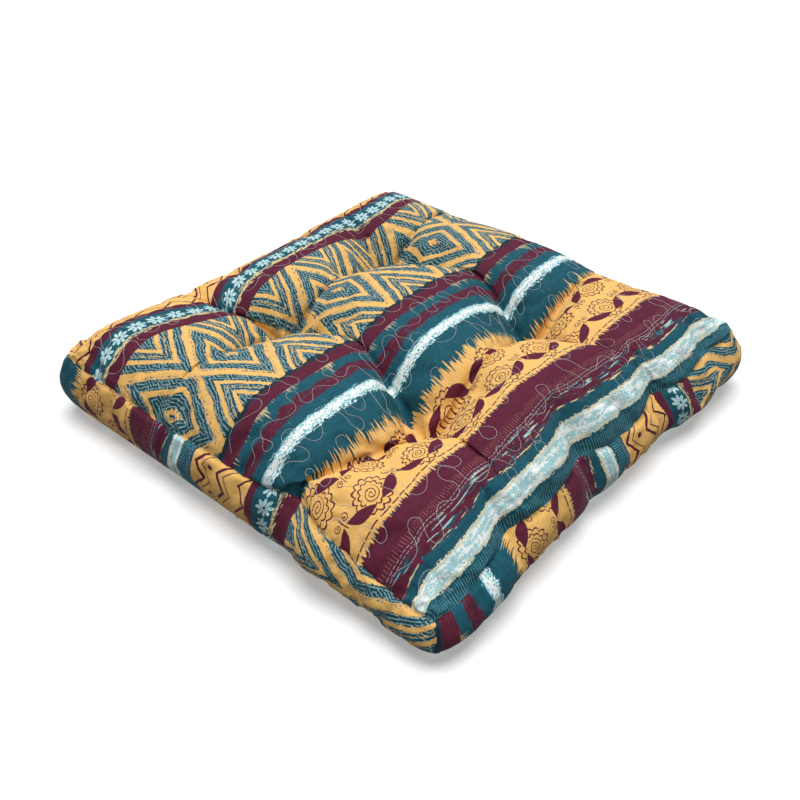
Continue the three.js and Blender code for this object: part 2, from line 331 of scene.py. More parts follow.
def skin_points(top, border, bottom):
    """All vertex positions in the order of skin_ids."""
    return np.concatenate([top.reshape(-1, 3), bottom.reshape(-1, 3), border[1:-1, :-1].reshape(-1, 3)])


def put(name, points, faces, uv=None):
    """A smooth-shaded object from arrays of points, faces and the faces' corner coordinates."""
    mesh = bpy.data.meshes.new(name)
    mesh.from_pydata(points.tolist(), [], faces.tolist())
    if uv is not None:
        mesh.uv_layers.new(name="cloth").data.foreach_set("uv", uv.astype(np.float32).ravel())
    mesh.shade_smooth()
    piece = bpy.data.objects.new(name, mesh)
    scene.collection.objects.link(piece)
    return piece


# %% [markdown]
# ## Filling the pad
# Real filling presses the cloth out between the seams, the creases and the ties, and spare cloth
# puckers beside them. Cloth simulation does that: the skin is a coarse grid, the sewn lines are
# pinned, the cloth is a little too large for them, and pressure fills it. The moves are capped and
# carried to a grid twice as fine. A remesh isn't needed, so the cloth coordinates are kept.

# %% Cloth simulation on a coarse skin
COARSE_STEPS, COARSE_RINGS = 34, 8
FILL_PRESSURE, SPARE_CLOTH, FILL_FRAMES, MOST_MOVED, FOLD_REACH = 2.5, 0.035, 22, 8.0, 16
PIN_GAIN, PIN_START, ON_CREASE = 2, 0.8, 1e-6  # a crease holds the cloth once its depth passes 0.4


def pin_weights(ids):
    """1 on the bottom panel, the seams and the ties; on a crease more, the deeper the crease is."""
    places = np.arange(3 * COARSE_STEPS + 1) / COARSE_STEPS
    x, y = panel_shares(*np.meshgrid(places, places))
    weights = np.zeros(ids[1].max() + 1)
    weights[ids[2]] = 1
    weights[ids[1][0]] = 1
    deep = np.zeros_like(x)
    for depth, away in each_crease(x, y):
        deep = np.where(away < ON_CREASE, np.maximum(deep, depth), deep)
    weights[ids[0]] = np.maximum(weights[ids[0]], np.clip(deep * PIN_GAIN - PIN_START, 0, 1))
    return weights


def folds_of(moves, closed):
    """A grid of moves without its slow swell, which the tables already give: each move less a mean
    of its neighbours, weighted by a bell. A closed grid's first and last columns are one line."""
    slow = moves
    for axis, round_ in ((0, False), (1, closed)):
        steps = np.arange(moves.shape[axis])
        apart = np.abs(steps[:, None] - steps)
        apart = np.minimum(apart, len(steps) - 1 - apart) if round_ else apart
        weights = bell(apart, FOLD_REACH)
        weights /= weights.sum(1, keepdims=True)
        slow = np.moveaxis(np.tensordot(weights, np.moveaxis(slow, axis, 0), 1), 0, axis)
    return moves - slow


def filled_moves():
    """How far each point of the coarse skin moves when the pad is filled, in millimetres."""
    ids = skin_ids(COARSE_STEPS, COARSE_RINGS)
    points = skin_points(*pad_skin(COARSE_STEPS, COARSE_RINGS))
    slack = put("filling_trial", points * MM, skin_quads(*ids))
    pins = slack.vertex_groups.new(name="pins")
    weights = np.round(pin_weights(ids), 2)
    for level in np.unique(weights):
        pins.add(np.flatnonzero(weights == level).tolist(), float(level), "REPLACE")
    cloth = slack.modifiers.new("fill", "CLOTH")
    cotton = dict(quality=5, mass=0.15, tension_stiffness=12, compression_stiffness=12,
                  shear_stiffness=6, bending_stiffness=0.35, shrink_min=-SPARE_CLOTH,
                  use_pressure=True, uniform_pressure_force=FILL_PRESSURE,
                  vertex_group_mass="pins", pin_stiffness=1)
    for name, value in cotton.items():
        setattr(cloth.settings, name, value)
    cloth.settings.effector_weights.gravity = 0
    cloth.collision_settings.use_collision = False
    cloth.point_cache.frame_start, cloth.point_cache.frame_end = 1, FILL_FRAMES
    for number in range(1, FILL_FRAMES + 1):
        scene.frame_set(number)
    done = slack.evaluated_get(bpy.context.evaluated_depsgraph_get()).data
    filled = np.empty(len(points) * 3)
    done.vertices.foreach_get("co", filled)
    moves = filled.reshape(-1, 3) / MM - points
    far = np.linalg.norm(moves, axis=1, keepdims=True)
    moves *= np.minimum(1, MOST_MOVED / np.maximum(far, 1e-9))
    bpy.data.objects.remove(slack)
    scene.frame_set(1)
    print("filling moved the cloth by up to %.1f mm, %.1f mm on average" % (far.max(), far.mean()))
    return [moves[part] for part in ids]


def finer(moves):
    """A grid of moves at twice the steps: each new line is the mean of its neighbours."""
    for axis in (0, 1):
        ends = np.moveaxis(moves, axis, 0)
        out = np.empty((2 * len(ends) - 1, *ends.shape[1:]))
        out[::2], out[1::2] = ends, (ends[:-1] + ends[1:]) / 2
        moves = np.moveaxis(out, 0, axis)
    return moves


STEPS, RINGS = 2 * COARSE_STEPS, 2 * COARSE_RINGS
top, border, bottom = pad_skin(STEPS, RINGS)
ids = skin_ids(STEPS, RINGS)
top_moves, border_moves, _ = filled_moves()
top = top + finer(folds_of(top_moves, False))
border = border + finer(folds_of(border_moves, True))
print("skin points", [part.shape for part in (top, border, bottom)])

# %% [markdown]
# ## The quilting thread's way
# A machine moves the panel under the needle in loose loops, like a river in a plain. A drawn curve
# would do, but a river's rule is shorter: the heading swings as a sine of the length sewn. A second,
# slower swing and a seeded change of the loop's length keep the rows from being alike.

# %% Rows of loops, in millimetres on the panel
THREAD_ROWS, LOOP_LENGTH, SWING, SLOW_SWING, SLOW_RATE = 15, 60.0, 1.45, 0.75, 0.43
LOOP_CHANGE, SWING_CHANGE, SEWN_SHARE, BEND_DEGREE = 0.5, 0.3, 2.6, 5
chance = np.random.default_rng(7)


def slow_change(count):
    """One smooth random curve a row: a sum of three slow sines with random phases, within -1 to 1."""
    turn = np.arange(count) / count * 2 * np.pi
    phases = chance.uniform(0, 2 * np.pi, (3, THREAD_ROWS, 1))
    return sum(np.sin(turn * k + phase) for k, phase in zip((3, 7, 12), phases)) / 3


def thread_rows():
    """Points every millimetre along each row: the heading's sine and cosine are summed up, and the
    row's slow bend, a curve of the fifth degree, is taken off."""
    count = int(WIDTH * SEWN_SHARE)
    rate = 2 * np.pi / LOOP_LENGTH * (1 + LOOP_CHANGE * slow_change(count))
    start, slow_start = chance.uniform(0, 2 * np.pi, (2, THREAD_ROWS, 1))
    turned = np.cumsum(rate, 1)
    heading = (SWING + SWING_CHANGE * slow_change(count)) * np.sin(turned + start)
    heading = heading + SLOW_SWING * np.sin(turned * SLOW_RATE + slow_start)
    side, ahead = np.cumsum(np.sin(heading), 1), np.cumsum(np.cos(heading), 1)
    steady = np.stack([np.polyval(np.polyfit(a, s, BEND_DEGREE), a) for a, s in zip(ahead, side)])
    middle = (np.arange(THREAD_ROWS)[:, None] + 0.5) / THREAD_ROWS * WIDTH
    return middle + side - steady, ahead


thread_x, thread_y = thread_rows()
EDGE_LEFT_BARE = 7
on_panel = ((np.minimum(thread_x, WIDTH - thread_x) > EDGE_LEFT_BARE)
            & (thread_y > EDGE_LEFT_BARE) & (thread_y < WIDTH - EDGE_LEFT_BARE))
print("thread length on the panel: %.1f m" % (on_panel.sum() * MM))

# %% [markdown]
# ## Puckers, folds and stitch lines
# Close to a seam or a tie the cloth is too long for the thread that holds it, so it puckers. These
# are too fine for the simulation's grid. A displacement texture could add them; moving the points
# along the surface's normal keeps them in the mesh, where light and the thread can follow them.

# %% Fine relief in the mesh
SEAM_GROOVE, SEAM_GROOVE_WIDTH, PUCKER_HEIGHT, PUCKER_REACH = 2.8, 3.6, 0.6, 14.0
TIE_FOLD_HEIGHT, TIE_FOLD_RADIUS, TIE_BARE_SHARE = 1.3, 20.0, 0.15
STITCH_DEPTH, STITCH_WIDTH, DEEPEST_STITCH = 0.9, 3.2, 1.2
CREASE_CUT, CREASE_CUT_WIDTH, CUT_GAIN, CUT_START = 9.0, 4.0, 1.6, 0.55
GATHER_FOLD_WIDTH, GATHER_FOLD_LENGTH, ON_SIDE = 4.0, 24.0, 0.999
GATHER_FOLD_SHARE = dict(front=0.4, right=0.45, back=0.1, left=0.1)


def grid_normals(grid):
    """Unit cross product of a grid's two directions, column first."""
    normal = np.cross(np.gradient(grid, axis=1), np.gradient(grid, axis=0))
    return normal / np.maximum(np.linalg.norm(normal, axis=-1, keepdims=True), 1e-9)


def seam_folds(side, place, from_seam):
    """Puckers along a seam, three sines of 13, 19 and 31 mm with random phases, less a sharp fold at
    each gather, as deep as a share of what it draws in. Both die away from the seam."""
    waves = sum(np.sin(2 * np.pi * place * WIDTH / length + phase)
                for length, phase in zip((13, 19, 31), side_phases[side])) / 2
    folds = sum(drawn * np.exp(-np.abs(place - at) * WIDTH / GATHER_FOLD_WIDTH)
                for name, at, _, drawn, _ in GATHERS if name == side)
    return (PUCKER_HEIGHT * waves * np.exp(-from_seam / PUCKER_REACH)
            - GATHER_FOLD_SHARE[side] * folds * np.exp(-from_seam / GATHER_FOLD_LENGTH))


def stitch_field(x_mm, y_mm):
    """How near the panel's points are to the thread: its points counted on a 1 mm raster, blurred
    by a bell in the frequency domain, and read between the raster's lines."""
    size = WIDTH + 1
    raster, _, _ = np.histogram2d(thread_x[on_panel], thread_y[on_panel], bins=size, range=[[0, size]] * 2)
    frequency = np.fft.fftfreq(size)
    blur = np.exp(-2 * (np.pi * STITCH_WIDTH / 2 * frequency) ** 2)
    raster = np.fft.ifft2(np.fft.fft2(raster) * blur[:, None] * blur[None]).real
    raster /= np.quantile(raster[raster > raster.max() / 4], 0.6)
    return np.minimum(between_lines(raster[..., None], x_mm, y_mm)[..., 0], DEEPEST_STITCH)


def between_lines(grid, i, j):
    """Values of a grid at places between its lines, by straight shares of the four corners."""
    i, j = np.clip(i, 0, grid.shape[0] - 1.001), np.clip(j, 0, grid.shape[1] - 1.001)
    a, b = np.floor(i).astype(int), np.floor(j).astype(int)
    f, g = (i - a)[..., None], (j - b)[..., None]
    low = grid[a, b] * (1 - f) + grid[a + 1, b] * f
    high = grid[a, b + 1] * (1 - f) + grid[a + 1, b + 1] * f
    return low * (1 - g) + high * g


places = np.arange(3 * STEPS + 1) / STEPS
panel_x, panel_y = panel_shares(*np.meshgrid(places, places))
side_phases = {side: chance.uniform(0, 2 * np.pi, 3) for side in SIDE_BOW}
lift = -STITCH_DEPTH * stitch_field(panel_x * WIDTH, panel_y * WIDTH)
for side, (place, near) in near_sides(panel_x, panel_y).items():
    to_seam = (1 - near) * WIDTH
    lift += seam_folds(side, place, to_seam) - SEAM_GROOVE * np.exp(-to_seam / SEAM_GROOVE_WIDTH)
for depth, away in each_crease(panel_x, panel_y):
    held = np.clip(depth * CUT_GAIN - CUT_START, 0, 1)
    lift -= CREASE_CUT * held * np.exp(-away * WIDTH / CREASE_CUT_WIDTH)
shift = pad_skin(4, 2)[0][0, 0] - top_panel(np.zeros(1), np.zeros(1))[0]  # how far centring moves a skin
for tie_x, tie_y in zip(TIE_X + shift[0], TIE_Y + shift[1]):
    dx, dy = top[..., 0] - tie_x, top[..., 1] - tie_y
    reach = np.hypot(dx, dy) / TIE_FOLD_RADIUS
    turn = np.arctan2(dy, dx)
    folds = sum(np.cos(k * turn + chance.uniform(0, 2 * np.pi)) for k in (5, 8, 11)) / 2
    lift += TIE_FOLD_HEIGHT * folds * reach * np.exp(1 - reach) * (reach > TIE_BARE_SHARE)
top = top + grid_normals(top) * lift[..., None]

rim_x, rim_y = panel_shares(*rim_places(STEPS))
down = np.linspace(0, 1, RINGS + 1)[:, None]
drop = down * TOP_SEAM_HEIGHT
lift = -SEAM_GROOVE * np.exp(-drop / SEAM_GROOVE_WIDTH) * np.ones_like(rim_x)
for side, (place, near) in near_sides(rim_x, rim_y).items():
    lift = lift + (near > ON_SIDE) * seam_folds(side, place, drop)
fading = np.sin(np.pi * (0.5 + 0.5 * down)) ** 0.5  # full at the top seam, none at the bottom one
border = border - grid_normals(border) * (lift * fading)[..., None]
print("relief added to %d points" % (top.size // 3))

# %% [markdown]
# ## Cloth coordinates
# The print was on the cloth before it was sewn. So its coordinates count the cloth's own length:
# towards the right side the top swells more, so more print fits between the seams there. At two
# places on the left the filling pulls the print aside, and the gathers on the right take up some of
# it. The border is one strip that starts at the left corner and runs round with its stripes upright.

# %% UV map in shares of the sewn width
SWELL_ROOM, SWELL_POWER, GATHER_SLIP = 0.0284, 2.6, 0.45
PRINT_DRIFTS, DRIFT_REACH = [(134, 52, 30), (428, 34, 11)], 0.6  # along the left side, spread, far
STRIP_START, STRIP_LEVEL, CORNER_EASE, EASE_POWER = 0.498, 0.3, 0.02, 6
drift = sum(far * bell(panel_y * WIDTH - at, spread) for at, spread, far in PRINT_DRIFTS)
slip = GATHER_SLIP * panel_x**SEAM_REACH * gathered("right", panel_y, 3)
drift = drift * cup(panel_x, DRIFT_REACH) + slip
top_uv = np.stack([panel_x + SWELL_ROOM * panel_x**SWELL_POWER - drift / WIDTH, panel_y], -1)
bottom_uv = np.stack([panel_x, panel_y], -1)
side_of = np.minimum(np.arange(rim_x.size) // (3 * STEPS), 3)
along_front = rim_x - 1 + CORNER_EASE * (1 - rim_x) ** EASE_POWER
along_side = np.choose(side_of, [along_front, rim_y, 2 - rim_x, 3 - rim_y])
ring_gaps = np.linalg.norm(np.diff(border, axis=0), axis=-1)
strip_down = np.pad(np.cumsum(ring_gaps, 0), [(1, 0), (0, 0)]) / WIDTH
strip_along = np.broadcast_to(STRIP_START + along_side, strip_down.shape)
border_uv = np.stack([strip_along, STRIP_LEVEL - strip_down], -1)
uv, faces = skin_quads(top_uv, border_uv, bottom_uv), skin_quads(*ids)
cover = put("pad_cover", skin_points(top, border, bottom) * MM, faces, uv)
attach(cover, "root")
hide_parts("cushion")
print("cover: %d triangles" % (2 * len(faces)))

# %% [markdown]
# ## Stitches
# The quilting shows as short stitches of a pale thread, each rising from one needle hole and diving
# into the next. A bump line would vanish from the side, so every stitch is a small four-sided
# rope: four rings of four points, laid on the finished cloth.

# %% The thread's mesh
STITCH_PITCH, STITCH_LENGTH, THREAD_RADIUS = 3.4, 3.4, 0.24
RING_PLACE = np.array([0, 0.3, 0.7, 1])
RING_HEIGHT = np.array([0.05, 0.2, 0.2, 0.05])
RING_GIRTH = np.array([0.8, 1, 1, 0.8])
SHORTEST_RUN = 12


def stitches_of(x_mm, y_mm):
    """Stitches along one sewn run: rings at four places of each stitch, each ring four points at the
    thread's radius from the path, towards the normal and across it."""
    across, along = grid_places(x_mm / WIDTH, y_mm / WIDTH)
    path = between_lines(top, along * STEPS, across * STEPS)
    normal = between_lines(grid_normals(top), along * STEPS, across * STEPS)
    sewn = np.concatenate([[0], np.cumsum(np.linalg.norm(np.diff(path, axis=0), axis=1))])
    starts = np.arange(0, sewn[-1] - STITCH_LENGTH, STITCH_PITCH)
    at = starts[:, None] + RING_PLACE * STITCH_LENGTH
    centre, up = (np.stack([np.interp(at, sewn, values[:, k]) for k in range(3)], -1)
                  for values in (path, normal))
    aside = np.cross(up, np.gradient(centre, axis=1))
    aside /= np.linalg.norm(aside, axis=-1, keepdims=True)
    centre = centre + up * RING_HEIGHT[:, None]
    spin = np.array([0, 1, 2, 3]) * np.pi / 2
    ring = up[:, :, None] * np.cos(spin)[:, None] + aside[:, :, None] * np.sin(spin)[:, None]
    return centre[:, :, None] + ring * (THREAD_RADIUS * RING_GIRTH)[:, None, None]


def sewn_runs():
    """The unbroken runs of each row that lie on the panel."""
    for x, y, keep in zip(thread_x, thread_y, on_panel):
        cuts = np.flatnonzero(np.diff(np.concatenate([[0], keep.astype(int), [0]])))
        for first, last in cuts.reshape(-1, 2):
            if last - first > SHORTEST_RUN:
                yield x[first:last], y[first:last]


stitches = np.concatenate([stitches_of(x, y) for x, y in sewn_runs()])
ring_ids = np.arange(16).reshape(4, 4)
tube = quads(np.concatenate([ring_ids, ring_ids[:, :1]], 1))
one = np.concatenate([tube, ring_ids[:1, ::-1], ring_ids[3:]])
rope_faces = (one[None] + 16 * np.arange(len(stitches))[:, None, None]).reshape(-1, 4)
thread = put("quilting_thread", stitches.reshape(-1, 3) * MM, rope_faces[:, ::-1])
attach(thread, "root")
print("thread: %d stitches, %d triangles" % (len(stitches), 2 * len(rope_faces)))

# %% [markdown]
# ## Drawing with numbers
# A print can be drawn by mathematics: where a formula of the cloth's two coordinates is small, there
# is ink. The class below lets a formula be written as a Python expression. Each operator adds one
# Math node, and any other node comes from the one method `node`.

# %% A socket that can be calculated with
class Field:
    """A number, vector or colour that changes over a surface: one output socket of a node."""
    tree = None

    def __init__(self, socket):
        self.socket = socket

    @classmethod
    def node(cls, kind, sockets, output=0, **settings):
        """Any shader node: its type, then values or links for its sockets, and its settings."""
        made = cls.tree.nodes.new("ShaderNode" + kind)
        for name, value in settings.items():
            setattr(made, name, value)
        for name, value in sockets.items():
            if isinstance(value, Field):
                cls.tree.links.new(value.socket, made.inputs[name])
            else:
                made.inputs[name].default_value = value
        return cls(made.outputs[output])

    @classmethod
    def math(cls, operation, *values):
        """One Math node."""
        return cls.node("Math", dict(enumerate(values)), operation=operation)

    def __add__(self, other):
        return self.math("ADD", self, other)

    def __sub__(self, other):
        return self.math("SUBTRACT", self, other)

    def __rsub__(self, other):
        return self.math("SUBTRACT", other, self)

    def __mul__(self, other):
        return self.math("MULTIPLY", self, other)

    def __truediv__(self, other):
        return self.math("DIVIDE", self, other)

    def __abs__(self):
        return self.math("ABSOLUTE", self)

    __radd__, __rmul__ = __add__, __mul__


def above(x, at, soft=0.3, low=0.0, high=1.0):
    """0 below a value and 1 above it, or the two given values, with a smooth step between."""
    return Field.node("MapRange", {0: x, 1: at - soft, 2: at + soft, 3: low, 4: high},
                      interpolation_type="SMOOTHSTEP")


def below(x, at, soft=0.3):
    """1 below a value and 0 above it."""
    return above(x, at, soft, 1.0, 0.0)


def between(x, low, high, soft=0.3):
    """1 between two values."""
    return above(x, low, soft) * below(x, high, soft)


def either(first, *others):
    """The larger of several masks."""
    for other in others:
        first = Field.math("MAXIMUM", first, other)
    return first


def folded(x, half):
    """Repeats every two halves, and counts from minus half to half in each repeat."""
    return Field.math("WRAP", x, half, -half)


def uneven(x, y, detail=1.0):
    """Smooth noise about zero, mostly within -0.3 to 0.3, with grains about one unit wide."""
    place = Field.node("CombineXYZ", {0: x, 1: y})
    sockets = dict(Vector=place, Scale=1.0, Detail=detail)
    return Field.node("TexNoise", sockets, noise_dimensions="2D") - 0.5


def ink(code):
    """A colour code as the linear values that a shader takes."""
    parts = [int(code[k:k + 2], 16) / 255 for k in (1, 3, 5)]
    return [p / 12.92 if p <= 0.04045 else ((p + 0.055) / 1.055) ** 2.4 for p in parts] + [1.0]


def paint(ground, mask, colour):
    """A colour laid over the ground where the mask is 1."""
    return Field.node("Mix", {0: mask, 6: ground, 7: colour}, 2, data_type="RGBA")


def new_material(name):
    """A material with its Principled shader, made the one that Field adds nodes to."""
    material = bpy.data.materials.new(name)
    material.use_nodes = True
    Field.tree = material.node_tree
    return material, material.node_tree.nodes["Principled BSDF"]


def fix(shader, values):
    """Sets constants on a shader's sockets."""
    for socket, value in values.items():
        shader.inputs[socket].default_value = value


def feed(shader, socket, field):
    """Links a field to a shader's socket."""
    Field.tree.links.new(field.socket, shader.inputs[socket])


# %% [markdown]
# ## The print
# The cloth has six inks in stripes that repeat: plain ground, brushed streaks, a row of daisies,
# nested diamonds, a band of spiral flowers. A scanned picture would be quicker, but a formula for
# each motif stays sharp at any distance. S and T are millimetres across and along the stripes, and
# `hand` is S made uneven by noise, as a cut stencil's edge is: a stripe lies between two values of it.

# %% Inks and coordinates
TEAL, DEEP_TEAL, MAROON, DARK_MAROON = ink("#185767"), ink("#0B323F"), ink("#5E1E36"), ink("#401024")
OCHRE, LIGHT_OCHRE, PALE_BLUE = ink("#F0BB67"), ink("#F4CB86"), ink("#86C4CC")
WHITE, CREAM = ink("#F3F8F7"), ink("#E4D09A")
REPEAT_START, REPEAT = -34.4, 606.0

cloth, cloth_shader = new_material("printed_cloth")
cover.data.materials.append(cloth)
coordinates = Field.node("UVMap", {}, uv_map="cloth")
split = Field.node("SeparateXYZ", {0: coordinates})
raw_s = split * WIDTH
T = Field(split.socket.node.outputs[1]) * WIDTH
S = Field.math("WRAP", raw_s, REPEAT_START + REPEAT, REPEAT_START)
sway = uneven(S / 34, T / 34)
rough = uneven(S / 1.5, T / 1.9)
brush = uneven(S / 2.2, T / 11, 2.0)
spike = uneven(S / 16, T / 1.3)
hand = S + sway * 6 + rough * 1.6

# %% Plain stripes
ground = paint(TEAL, above(brush, 0.06, 0.12) * 0.35, DEEP_TEAL)
ground = paint(ground, above(spike, 0.29, 0.03) * 0.35, PALE_BLUE)
maroon_stripes = either(*[between(hand, low, high) for low, high in
                          [(44.5, 54.0), (83.5, 100.0), (277.0, 294.0)]])
flecks = above(uneven(S / 3.2, T / 30, 3.0), 0.12, 0.03)
wide_stripe = between(hand + spike * 12, 468, 520) * (1 - between(hand, 503, 524) * flecks)
worn_stripe = between(hand + brush * 10, 307.5, 321.5) * above(brush + rough * 0.5, -0.2, 0.03)
maroon = paint(MAROON, above(brush, 0.05, 0.12) * 0.4, DARK_MAROON)
colour = paint(ground, either(maroon_stripes, wide_stripe, worn_stripe), maroon)

# %% [markdown]
# ### Streaks, ticks and dashes
# A dry brush leaves broken edges with the ground showing through. Noise moves a streak's edges and
# chooses its tone, so that no bristle mark is drawn by itself. Rows of short strokes, like a comb's
# marks, edge the stripes: a wrapped coordinate repeats one stroke for ever.

# %% Brushed streaks
STREAK_LINE, MOTTLED_LINE = 340, 540
grain = uneven(S / 1.3, T / 2.6, 2.0)
streak = between(S + brush * 10 + grain * 7, 334.5, 347)
from_middle = abs(S - STREAK_LINE)
streak_tone = paint(WHITE, above(grain + brush * 0.6 + from_middle * 0.035, 0.14, 0.05), PALE_BLUE)
streak_tone = paint(streak_tone, above(grain + from_middle * 0.012, 0.22, 0.03), TEAL)
colour = paint(colour, streak, streak_tone)
blue_dashes = between(hand, 505, 515) * above(uneven(S / 2.2 + 9, T / 26, 3.0), 0.13, 0.03)
colour = paint(colour, blue_dashes, paint(PALE_BLUE, above(grain, 0.08, 0.06), CREAM))
cream_dashes = between(hand + brush * 5, 519, 521.3) * above(uneven(S / 2, T / 20), 0.08, 0.04)
colour = paint(colour, cream_dashes, CREAM)
mottled = between(S + brush * 4 + grain * 4, 531, 548.5)
mottled_tone = paint(ink("#A2D0D3"), above(grain + uneven(S / 4, T / 20), 0.02, 0.08), WHITE)
mottled_rim = above(abs(S + brush * 4 - MOTTLED_LINE) + grain * 9, 6.9, 0.8) * 0.7
colour = paint(colour, mottled, paint(mottled_tone, mottled_rim, CREAM))

# %% Ticks and dashes
RUNG_SHARE = 0.2


def ragged_line(pitch, start):
    """Noise along the stripe alone, about zero, so that an edge moved by it has straight spikes."""
    sockets = dict(W=T / pitch + start, Scale=1.0, Detail=2.0)
    return Field.node("TexNoise", sockets, noise_dimensions="1D") - 0.5


def ladder(low, high, half_pitch):
    """Short strokes across the stripe: thin lines that repeat along it, uneven in length."""
    rungs = below(abs(folded(T + sway * 5, half_pitch)), half_pitch * RUNG_SHARE, 0.15)
    return between(S + spike * 6, low, high, 0.5) * rungs


def dashed_line(at):
    """A thin line along the stripe, broken at even steps."""
    return below(abs(S + sway * 4 - at), 0.4, 0.25) * below(folded(T + at, 2.2), 0.9, 0.3)


spikes = ragged_line(1.5, 11) * 36 + ragged_line(30.0, 23) * 40
ticks = between(S, 293, 310) * above(spikes - (S - 294), 5.0, 0.5)
colour = paint(colour, ticks * 0.7, CREAM)
colour = paint(colour, ladder(491, 498, 1.4) * above(grain, -0.1, 0.06) * 0.42, ink("#C98F7A"))
colour = paint(colour, ladder(551, 562, 1.35) * above(grain, -0.16, 0.06) * 0.62, PALE_BLUE)
dashes = either(*[dashed_line(at) for at in (275, 500.5, 504, 565, 568)])
colour = paint(colour, dashes * 0.3, WHITE)

# %% [markdown]
# ### Daisies
# One row of flowers. Round a wrapped middle, the petals' length is the cosine of four times the
# angle without its sign, which makes eight petals.

# %% Daisies
DAISY_LINE, DAISY_PITCH, DAISY_RADIUS = 69.0, 20.6, 9.8


def polar(x, y):
    """Distance and angle from a point."""
    return Field.math("SQRT", x * x + y * y), Field.math("ARCTAN2", y, x)


reach, turn = polar(S - DAISY_LINE + sway * 6, folded(T, DAISY_PITCH / 2))
petal = abs(Field.math("COSINE", turn * 4))
petal_end = DAISY_RADIUS * (0.45 + 0.55 * petal)
petals = below(reach - petal_end + grain * 3, 0.0, 0.35) * above(petal, 0.25, 0.08) * above(reach, 1.6)
colour = paint(colour, petals, paint(PALE_BLUE, above(grain, 0.03, 0.1), WHITE))
colour = paint(colour, between(hand + brush * 12, 80.0, 83.5) * above(grain, -0.1, 0.06), CREAM)

# %% [markdown]
# ### Nested diamonds
# Broad strokes follow the edges of diamonds and of the triangles between them, over pale hatching.
# Two shares sum to 1 on an edge, so one value, `depth`, counts the way in from it on both sides.

# %% Nested diamonds
LATTICE_DEPTH, HATCH_HALF_PITCH = 0.12, 1.75
DIAMOND_LINE, DIAMOND_HALF_WIDTH, DIAMOND_HALF_LENGTH = 188.0, 84.0, 41.2
ragged = uneven(S / 2.2, T / 2.2, 2.0)
a = abs(S + sway * 5 - DIAMOND_LINE) / DIAMOND_HALF_WIDTH
b = abs(folded(T - 10 + sway * 4, DIAMOND_HALF_LENGTH)) / DIAMOND_HALF_LENGTH
outside = a + b - 1
depth = abs(outside) + ragged * 0.09 + uneven(S / 13, T / 13) * 0.05
inner = below(outside, 0.0, 0.01)


def strokes_at(*bands):
    """Brush strokes at several depths into a diamond or triangle."""
    return either(*[between(depth, low, high, 0.015) for low, high in bands])


broken = above(uneven(S / 3.5, T / 3.5, 2.0), -0.06, 0.03)
inside_strokes = either(strokes_at((0.4, 0.53)), strokes_at((0.86, 1.2)) * broken)
outside_strokes = either(strokes_at((0.34, 0.45), (0.68, 0.79)), strokes_at((0.55, 0.575)) * broken)
parted = inner * between(depth, 0.05, 0.085, 0.015) * above(uneven(S / 4, T / 4), 0.0, 0.04)
lattice = below(depth, LATTICE_DEPTH, 0.015) * (1 - parted)
strokes = either(lattice, inner * inside_strokes, (1 - inner) * outside_strokes)
field = between(hand, 100, 273)
patchy = uneven(S / 9, T / 9)
from_edge = abs(outside) * DIAMOND_HALF_LENGTH + sway * 6 + rough
aslant = T + S * 0.35 + sway * 8 + rough
lines, cross_lines = (below(abs(folded(way, HATCH_HALF_PITCH)), 0.5, 0.25) for way in (from_edge, aslant))
pale_hatch = either(lines * above(patchy, -0.06, 0.04), cross_lines * below(patchy, 0.0, 0.04))
colour = paint(colour, field * 0.4, DEEP_TEAL)
colour = paint(colour, field * pale_hatch * above(grain, -0.09, 0.05) * 0.8, ink("#A9C9C6"))
colour = paint(colour, between(hand, 271, 277), ink("#15303F"))
gold = paint(OCHRE, above(ragged, 0.05, 0.15) * 0.6, LIGHT_OCHRE)
colour = paint(colour, field * strokes * above(rough, -0.26, 0.04), gold)

# %% [markdown]
# ### Flower and zigzag bands
# A gold band, flaming on one edge and serrated on the other, has two rows of spiral flowers and
# leaves. Each is drawn once round its own middle and repeated by wrapping. The other gold band has
# zigzags and dots: a wrapped coordinate without its sign is a zigzag.

# %% Flower band
FLAME_EDGE, SERRATED_EDGE = 379.0, 468.5
flames = above(S + ragged_line(2.3, 0) * 34 + ragged_line(9.0, 70) * 22, FLAME_EDGE, 0.5)
serrations = below(S + ragged_line(2.0, 40) * 14 + sway * 4, SERRATED_EDGE, 0.4)
flower_ground = flames * serrations * between(S, 352, 480)
colour = paint(colour, flower_ground, gold)


def flower(x, y, radius):
    """A spiral of two turns inside two scalloped rings. Each scallop is half a sine wave."""
    reach, turn = polar(x, y)
    coil = abs(folded(reach / (radius * 0.2) - turn / (2 * math.pi), 0.5))
    spiral = below(coil, 0.14, 0.05) * below(reach, radius * 0.46)
    inner_edge = radius * (0.58 + 0.13 * abs(Field.math("COSINE", turn * 6)))
    outer_edge = radius * (0.84 + 0.17 * abs(Field.math("SINE", turn * 7)))
    inner_ring = below(abs(reach - inner_edge), 0.75, 0.25)
    outer_ring = below(abs(reach - outer_edge), 0.85, 0.25)
    return either(spiral, inner_ring, outer_ring)


def leaves(x, y):
    """Two filled leaves that spread from one stem, mirrored along the stripe, with a curl and a dot
    behind each. A leaf is as wide as a parabola along its length."""
    side = abs(y)
    p, q = x * 0.51 + side * 0.86, x * 0.86 - side * 0.51
    blade = 5.6 * (1 - (p - 16.5) * (p - 16.5) / 225)
    leaf = above(blade - abs(q + (p - 14) * (p - 14) * 0.012 - 1), 0.0, 0.35)
    curl_reach, curl_turn = polar(x + 5, side - 4.5)
    curl = either(below(abs(curl_reach - 2.6 - curl_turn * 0.3), 0.45, 0.25), below(curl_reach, 0.9))
    stem = below(side, 0.5) * between(x, -9, 3)
    return either(leaf, curl, stem)


